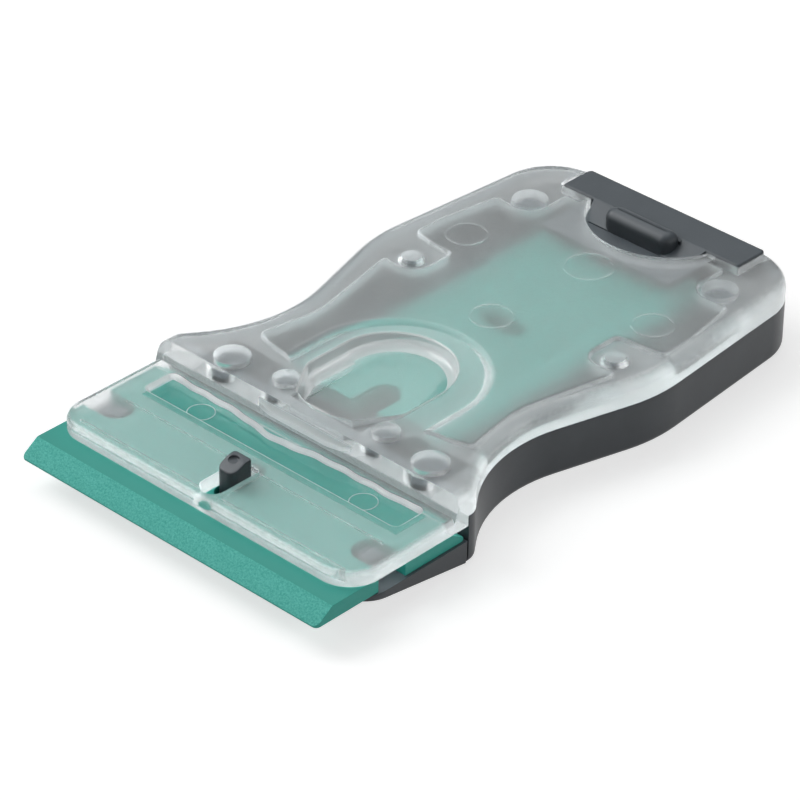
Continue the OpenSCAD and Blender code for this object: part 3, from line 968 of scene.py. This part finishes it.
def dish_cutter():
    """Cutter of the dish: flat sloping floor, a rounded foot, an upright wall and a rim."""
    rings = [foot_ring(math.pi / 2 * k / 8) for k in range(9)]
    wall = [(0.1, crease_z + 0.9)] + quarter((0.1, handle_h - 0.35), (0.5, handle_h))
    wall += [(0.5, handle_h + PAST)]
    rings += [[(p.x, p.y, z) for p in grown(dish_plan, growth)] for growth, z in wall]
    # Its wall faces get the milky white finish, a painted reflection.
    cutter = loft("dish_cutter", rings, dish_wall)
    paint(cutter, polished_clear, lambda face: abs(face.normal.z) > 0.97)
    paint(cutter, hazy_clear, lambda face: face.normal.y < -0.9)
    return cutter


print(f"dish {crease_z - dish_floor(dish_front):.2f} mm deep in front under its crease")

# %% [markdown]
# ## Stamping small shapes
#
# The eight sockets and the round marks of the ejector pins repeat over the inside of the cover. A
# node tree places one shape at each vertex of a point mesh, scaled by an attribute of that vertex.
# The instances are realized, so that a boolean can use them as one solid. A second Set Material
# gives the level faces a finish of their own.

# %% Stamp tree
LEVEL = 0.9


def stamp_tree():
    """Node group: Shape on every point, sized by the attribute size, as one real mesh."""
    group = bpy.data.node_groups.new("stamp_on_points", "GeometryNodeTree")
    for name, kind in (("Points", "Geometry"), ("Shape", "Object"), ("Finish", "Material"),
                       ("Level Finish", "Material")):
        group.interface.new_socket(name, in_out="INPUT", socket_type="NodeSocket" + kind)
    group.interface.new_socket("Mesh", in_out="OUTPUT", socket_type="NodeSocketGeometry")
    link = group.links.new
    enter = place_node(group, "NodeGroupInput").outputs
    leave = place_node(group, "NodeGroupOutput").inputs
    size = place_node(group, "GeometryNodeInputNamedAttribute", data_type="FLOAT_VECTOR")
    size.inputs["Name"].default_value = "size"
    shape = place_node(group, "GeometryNodeObjectInfo")
    onto = place_node(group, "GeometryNodeInstanceOnPoints")
    real = place_node(group, "GeometryNodeRealizeInstances")
    paint_all = place_node(group, "GeometryNodeSetMaterial")
    paint_level = place_node(group, "GeometryNodeSetMaterial")
    normal = place_node(group, "GeometryNodeInputNormal")
    parts = place_node(group, "ShaderNodeSeparateXYZ")
    link(normal.outputs["Normal"], parts.inputs["Vector"])
    steep = sum_up(group, "ABSOLUTE", parts.outputs["Z"])
    link(enter["Shape"], shape.inputs["Object"])
    link(enter["Points"], onto.inputs["Points"])
    link(shape.outputs["Geometry"], onto.inputs["Instance"])
    link(size.outputs["Attribute"], onto.inputs["Scale"])
    link(onto.outputs["Instances"], real.inputs["Geometry"])
    link(real.outputs["Geometry"], paint_all.inputs["Geometry"])
    link(enter["Finish"], paint_all.inputs["Material"])
    link(paint_all.outputs["Geometry"], paint_level.inputs["Geometry"])
    link(sum_up(group, "GREATER_THAN", steep, LEVEL), paint_level.inputs["Selection"])
    link(enter["Level Finish"], paint_level.inputs["Material"])
    link(paint_level.outputs["Geometry"], leave["Mesh"])
    return group


stamper = stamp_tree()
print("stamp tree with", len(stamper.nodes), "nodes")

# %% Stamping
def stamped(name, shape, places, finish, level_finish=None):
    """One mesh of a unit shape at places [((x, y, z), (sx, sy, sz)), ...] in millimetres."""
    mesh = bpy.data.meshes.new(name)
    mesh.from_pydata([at(*place) for place, size in places], [], [])
    sizes = mesh.attributes.new("size", "FLOAT_VECTOR", "POINT")
    for k, (place, size) in enumerate(places):
        sizes.data[k].vector = size
    piece = new_piece(name, mesh)
    nodes = piece.modifiers.new("stamp", "NODES")
    nodes.node_group = stamper
    values = {"Shape": shape, "Finish": finish, "Level Finish": level_finish or finish}
    for item in stamper.interface.items_tree:
        if item.in_out == "INPUT" and item.name in values:
            nodes[item.identifier] = values[item.name]
    settle(piece)
    return piece


def unit_shape(name, profile, steps, closed=False):
    """Round shape at the origin, whose profile (radius, height) is in units of one millimetre."""
    return skin(name, [[(p.x * MM, p.y * MM, z * MM) for p in circle(0, 0, r, steps)]
                       for r, z in profile], None, closed)


straight_hole = unit_shape("straight_hole", [(1, 0), (0.98, 1)], 40)
tapered_hole = unit_shape("tapered_hole", [(1, 0), (0.95, 0.4), (0.7, 1)], 40)
mark_ring = unit_shape("mark_ring", [(1, 0), (1, 1), (0.91, 1), (0.91, 0)], 64, closed=True)
print(len(mark_ring.data.polygons), "faces on the ring of an ejector mark")

# %% [markdown]
# ## The cover
#
# The clear cover is one moulding: a low lip over the blade, a step, and the top of the handle. Light
# goes right through it, so its inside matters as much as its outside, and all of it has to be one
# closed skin without inner walls. The blank is two plates, trimmed by the step's side view and
# joined. The underside of the lip stays a hair above the blade, because two surfaces in one place
# would flicker, and two fine moulded lines and a polished field under the trough are cut into it.

# %% Cover blank
lip_gap = 0.06
lip_z = blade_high.z + lip_gap
lip_top = blade_high.z + 2.4
lip_rear = split_y - 0.02
seam_z = base_h + 0.05
step_y = 26.0
step_l = 2.6
step_top = step_y + step_l
ceiling = handle_h - wall_t
cover = plate("cover_moulding", shell_plan, upright(lip_z, handle_h, 0.1, 2.0), satin_clear)
step_view = outline([
    (step_y, lip_z - 2, 0.1), (split_y, lip_z - 2, 0.1), (split_y, seam_z, 0.1),
    (tool_l + 2, seam_z, 0.1), (tool_l + 2, handle_h + 2, 0.1), (step_top, handle_h + 2, 0.1),
    (step_top, handle_h + 0.6, 0.6), (step_y + step_l * 0.9, handle_h - 0.45, 0.6)])
keep(cover, across("step", step_view, shell_x + PAST, satin_clear))
lip = plate("lip", shell_plan, upright(lip_z, lip_top, 0.1, 1.0), satin_clear)
keep(lip, slab("front", WIDE, 0, split_y, 0, HIGH, satin_clear))
# Half width, front, rear, depth and finish of what is cut into the underside of the lip.
for name, half_width, front, rear, deep, finish in (
        ("under_lip", WIDE, 0, lip_rear, 0.03, inner_satin),
        ("line_front", 27, 8.9, 9.25, 0.25, polished_clear),
        ("line_rear", 26, 17.2, 17.5, 0.2, polished_clear),
        ("trough_under", 25.8, 20.1, 26.5, 0.06, polished_clear),
        ("haze_rear", WIDE, 26.6, lip_rear, 0.06, frosted_wall)):
    cut_away(lip, slab(name, half_width, front, rear, lip_z - PAST, lip_z + deep, finish))
add(cover, lip)
paint(cover, frosted_wall, lambda face: face.normal.z < -0.9 and face.center.z > base_h * MM)
paint(cover, frosted_wall, lambda face: face.normal.y > 0.9)
print("cover blank", len(cover.data.polygons), "faces")

# %% [markdown]
# ## The inside of the cover
#
# From below, one recess hollows the handle and leaves the thick border that the sockets stand in. A
# thick ring keeps the wall of the dish, and a thin block inside it keeps the floor. Both follow the
# slope of the floor from below, and stay clear of the posts and of the stop wall of the base. Then
# the sockets and the ejector marks are stamped in.

# %% Recess and passage
# The border is wide at the waist, round the middle socket and round the rear one.
recess_corners = [
    (8, 37.9, 0.5), (19.2, 39.6, 0.8), (21.7, 40.4, 1.0), (19.9, 51.5, 15), (23.6, 69.2, 0.6),
    (17.0, 68.7, 3.3), (16.9, 77.2, 1.0), (21.8, 77.5, 0.6), (25.5, 78.2, 1.2),
    (25.4, 84.0, 10), (23.6, 94.9, 0.8), (15.8, 94.4, 3.5), (16.2, 103.0, 0.6)]
front_x = 24
front_rear = 37.4
passage_rear = 105
cut_away(cover, slab("front_under", front_x, split_y, front_rear, base_h - PAST, seam_z + 0.03,
                     inner_satin))
recess = plate("recess", outline(mirrored(recess_corners)),
               upright(base_h - PAST, ceiling, 0, 0.45), frosted_wall)
# Walls that face right and front get the whiter copy, a painted light band; the others stay frosted.
paint(recess, recess_wall, lambda face: face.normal.x < -0.1 or face.normal.y > 0.3)
paint(recess, inner_satin, lambda face: abs(face.normal.z) > LEVEL)
cut_away(cover, recess)
cut_away(cover, slab("passage", ledge_x + gap, ledge_front - 0.2, passage_rear, base_h - PAST,
                     ceiling, frosted_wall))
print("hollowed cover", len(cover.data.polygons), "faces")

# %% Ring and floor of the dish
ring_t = 4.0
ring_flare = 1.7
ring_foot = ceiling - 1.6
ring_low = 4.0
ring_top = handle_h - 1
ring_front = stop_y - 8
ring_rear = 70
dish_t = 1.2
(inner_boss_x, _), inner_boss_r = bosses[1]
post_reach = inner_boss_x - inner_boss_r - boss_wall - gap


def under_dish(piece, thickness, finish):
    """Adds a block under the dish, down to a thickness below its floor and clear of the base."""
    view = [(ring_front, dish_floor(ring_front) - thickness),
            (ring_rear, dish_floor(ring_rear) - thickness), (ring_rear, HIGH), (ring_front, HIGH)]
    keep(piece, across("under", view, HIGH, finish))
    cut_away(piece, block("left", (-WIDE, 0, 0), (-post_reach, tool_l, seam_z), finish),
             block("right", (post_reach, 0, 0), (WIDE, tool_l, seam_z), finish),
             slab("front", WIDE, 0, stop_rear + gap, 0, seam_z, finish))
    add(cover, piece)


ring_profile = [(0, ring_low)] + quarter((0, ring_foot), (ring_flare, ceiling))
ring_profile += [(ring_flare, ring_top)]
ring_block = plate("ring_block", grown(dish_plan, ring_t), ring_profile, frosted_wall)
dish_block = plate("dish_block", grown(dish_plan, -0.4), upright(ring_low, ring_top), inner_satin)
under_dish(ring_block, dish_t, frosted_wall)
under_dish(dish_block, dish_t + 0.03, inner_satin)
print("cover with its ring", len(cover.data.polygons), "faces")

# %% Sockets and ejector marks
socket_h = ceiling - base_h + PAST
for name, spots, radii, shape, finish, level_finish in (
        ("front_holes", bosses[:2], (2.9, 2.15), straight_hole, polished_clear, satin_clear),
        ("middle_holes", bosses[2:3], (2.3,), tapered_hole, polished_clear, frosted_wall),
        ("rear_holes", bosses[3:], (2.9,), straight_hole, frosted_wall, satin_clear)):
    places = [((way * x, y, base_h - PAST), (r, r, socket_h))
              for ((x, y), _), r in zip(spots, radii) for way in (-1, 1)]
    cut_away(cover, stamped(name, shape, places, finish, level_finish))
mark_sunk = 0.1
mark_h = 0.24
# Place, height and radius of each mark.
marks = [(-19, 83, ceiling, 3.4), (19, 83, ceiling, 3.4), (0, 68, ceiling, 3.5),
         (0.9, 89, ceiling, 4.0), (-16.5, 23.2, lip_z, 2.2), (16.5, 23.2, lip_z, 2.2)]
places = [((x, y, z - mark_sunk), (r, r, mark_h)) for x, y, z, r in marks]
cut_away(cover, stamped("ejector_marks", mark_ring, places, inner_satin))
for shape in (straight_hole, tapered_hole, mark_ring):
    bpy.data.objects.remove(shape)
print("cover with its inside", len(cover.data.polygons), "faces")

# %% [markdown]
# ## The openings of the cover
#
# From above, the dish is cut with the crescent in front of it, the slot of the peg, the trough in
# the lip, the opening for the drawer's bar and the round thumb notch. Each cutter flares at its top,
# which leaves a rounded rim. The rear edge of the real trough isn't straight, so it is written as a
# small wave.

# %% Dish, crescent and slot
cut_away(cover, dish_cutter())
crescent_r = 10.83
crescent_y = dish_front - 1.5 + crescent_r
crescent_half = math.asin(dish_front_x / crescent_r)
crescent_plan = [Vector((crescent_r * math.sin(crescent_half * k / 12),
                         crescent_y - crescent_r * math.cos(crescent_half * k / 12)))
                 for k in range(-12, 13)]
crescent_plan += [Vector((way * dish_front_x, dish_front + 0.3)) for way in (1, -1)]
cut_away(cover, plate("crescent", crescent_plan, rim_profile(handle_h - 1.1, handle_h, 0.15),
                      white_haze))
slot_w = 4.0
slot_plan = outline(mirrored([(slot_w / 2, 7.7, full_round(slot_w)), (slot_w / 2, 17.0, 0.3)]))
cut_away(cover, plate("slot", slot_plan, rim_profile(lip_z - PAST, lip_top, 0.2), polished_clear))
print("cover with dish and slot", len(cover.data.polygons), "faces")

# %% Trough
trough_x = 25.3
trough_front = 20.6
trough_rear = 25.9
trough_deep = 0.8
trough_rim = 0.7


def trough_edge(x):
    """Point of the trough's rear edge, which waves and bulges forward near the middle."""
    bulge = 1.2 * math.exp(-((x + 3) / 6) ** 2)
    ripple = 0.3 + 0.12 * math.sin(1.1 * x)
    calm = min(1, (trough_x - 0.9 - abs(x)) / 4)
    return Vector((x, trough_rear - calm * (bulge + ripple)))


def is_wall(face):
    """Whether a face of a cutter stands up or slopes."""
    return abs(face.normal.z) < 0.97


trough_plan = outline(mirrored([(trough_x, trough_front, 0.8), (trough_x, trough_rear, 0.8)]))
half = len(trough_plan) // 2
wave_x = int(trough_x) - 1
wave = [trough_edge(x) for x in range(wave_x, -wave_x - 1, -1)]
trough = plate("trough", trough_plan[:half] + wave + trough_plan[half:],
               rim_profile(lip_top - trough_deep, lip_top, trough_rim), polished_clear)
paint(trough, hazy_clear, is_wall)
paint(trough, frosted_wall, lambda face: is_wall(face) and face.normal.y > 0.3)
# The front wall of the trough, which faces the rear, is painted white: a painted highlight along its
# rim.
paint(trough, white_haze, lambda face: is_wall(face) and face.normal.y < -0.3)
cut_away(cover, trough)
print("cover with its trough", len(cover.data.polygons), "faces")

# %% Openings for the drawer
opening_plan = bar_outline(bar_x + gap, bar_y - gap, tool_end, 0.3, 0.1)
cut_away(cover, plate("opening", opening_plan, rim_profile(base_h - PAST, handle_h, 0.25),
                      satin_clear))
cut_away(cover, plate("thumb", circle(0, thumb_y, thumb_r, 120),
                      rim_profile(base_h - PAST, handle_h, 0.4), satin_clear))
soften(cover)
hand_over(cover, "handle", "frosted_plastic", "cover")

# %% [markdown]
# ## Size against the CAD box
#
# The box of the finished model is measured against the CAD box, and how much it grew is printed.
# The finished model must stay inside the CAD box.

# %% Finish
new_low, new_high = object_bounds()
growth = [round((a - b) / MM, 3) for a, b in zip(new_high - new_low, cad_high - cad_low)]
print("box grew by", growth, "mm")
